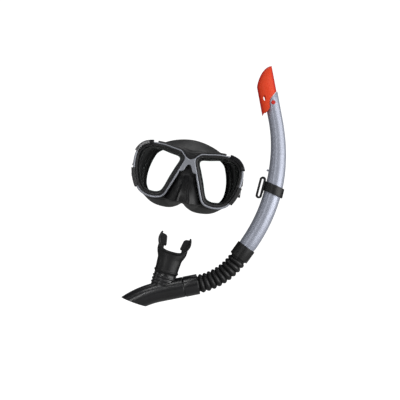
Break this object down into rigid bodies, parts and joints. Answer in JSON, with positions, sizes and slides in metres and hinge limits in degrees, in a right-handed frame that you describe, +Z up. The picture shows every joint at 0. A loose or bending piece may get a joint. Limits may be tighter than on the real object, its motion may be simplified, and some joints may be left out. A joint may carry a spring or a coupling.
{
  "type": "snorkel mask with snorkel",
  "caption": "Diving mask with two glass windows, silicone skirt and strap, laid out with its bent snorkel, splash guard, keeper and ringed hose.",
  "frame": {"origin": "on the mask's centre plane, on the flat front face of the nose bridge, 11 mm above the level of the pupils", "axes": "+Z up the face, +X to the wearer's left, +Y from the front of the mask towards the face"},
  "size_m": [0.23, 0.1475, 0.3857],
  "materials": {
    "silver_plastic": "satin metallic paint",
    "black_plastic": "satin moulded",
    "gloss_black_plastic": "glossy moulded",
    "black_silicone": "smooth silicone",
    "tempered_glass": "clear polished",
    "grey_tube": "pearly metallic",
    "orange_plastic": "glossy moulded",
    "steel": "turned"
  },
  "bodies": {
    "mask": {"front_bezel": "silver_plastic", "rear_frame": "black_plastic", "lens_left": "tempered_glass", "lens_right": "tempered_glass", "lens_retainer_left": "black_plastic", "lens_retainer_right": "black_plastic", "skirt": "black_silicone", "corner_guard_left": "gloss_black_plastic", "corner_guard_right": "gloss_black_plastic", "buckle_mount_left": "black_plastic", "buckle_mount_right": "black_plastic", "pivot_pin_left": "steel", "pivot_pin_right": "steel"},
    "strap": {"head_strap": "black_silicone", "buckle_body_left": "black_plastic", "buckle_body_right": "black_plastic"},
    "roller_left": {"strap_roller_left": "steel"},
    "roller_right": {"strap_roller_right": "steel"},
    "button_left": {"release_button_left": "gloss_black_plastic"},
    "button_right": {"release_button_right": "gloss_black_plastic"},
    "snorkel": {"snorkel_tube": "grey_tube", "splash_guard": "orange_plastic", "guard_sleeve": "orange_plastic", "corrugated_hose": "black_silicone"},
    "keeper": {"snorkel_keeper": "black_silicone"},
    "hose_end": {"hose_coupling": "black_plastic"},
    "barrel": {"purge_barrel": "black_plastic", "purge_seat": "black_plastic"},
    "mouthpiece_body": {"mouthpiece": "black_silicone"},
    "valve": {"purge_diaphragm": "black_silicone"}
  },
  "joints": [
    {"name": "strap_swing", "type": "hinge", "parent": "mask", "child": "strap", "pos_m": [0, 0.033, -0.031], "axis": [1, 0, 0], "range_deg": [-45, 25]},
    {"name": "release_button_left", "type": "slide", "parent": "strap", "child": "button_left", "axis": [0, 0.515, -0.8572], "range_m": [0, 0.0014], "stiffness_N_per_m": 200},
    {"name": "release_button_right", "type": "slide", "parent": "strap", "child": "button_right", "axis": [0, 0.515, -0.8572], "range_m": [0, 0.0014], "stiffness_N_per_m": 200},
    {"name": "strap_roller_left", "type": "hinge", "parent": "strap", "child": "roller_left", "pos_m": [0.0793, 0.04757, -0.02224], "axis": [0, -0.515, 0.8572], "continuous": true},
    {"name": "strap_roller_right", "type": "hinge", "parent": "strap", "child": "roller_right", "pos_m": [-0.0793, 0.04757, -0.02224], "axis": [0, -0.515, 0.8572], "continuous": true},
    {"name": "snorkel_apart", "type": "slide", "parent": "mask", "child": "snorkel", "axis": [1, 0, 0], "range_m": [0, 0.15]},
    {"name": "keeper_slide", "type": "hinge", "parent": "snorkel", "child": "keeper", "pos_m": [-0.112, 0.014, -0.0032], "axis": [0, 1, 0], "range_deg": [-1.5, 12]},
    {"name": "hose_bend", "type": "hinge", "parent": "snorkel", "child": "hose_end", "pos_m": [0.07678, 0.014, -0.15562], "axis": [0, 1, 0], "range_deg": [-30, 15], "deforming": ["corrugated_hose"]},
    {"name": "barrel_swivel", "type": "hinge", "parent": "hose_end", "child": "barrel", "pos_m": [0.04796, 0.014, -0.17429], "axis": [-0.9252, 0, -0.3795], "range_deg": [-60, 60]},
    {"name": "mouthpiece_swivel", "type": "hinge", "parent": "barrel", "child": "mouthpiece_body", "pos_m": [-0.0035, 0.014, -0.169], "axis": [0.0872, 0, 0.9962], "range_deg": [-30, 30]},
    {"name": "valve_lift", "type": "slide", "parent": "barrel", "child": "valve", "axis": [-0.9252, 0, -0.3795], "range_m": [0, 0.0012]}
  ]
}
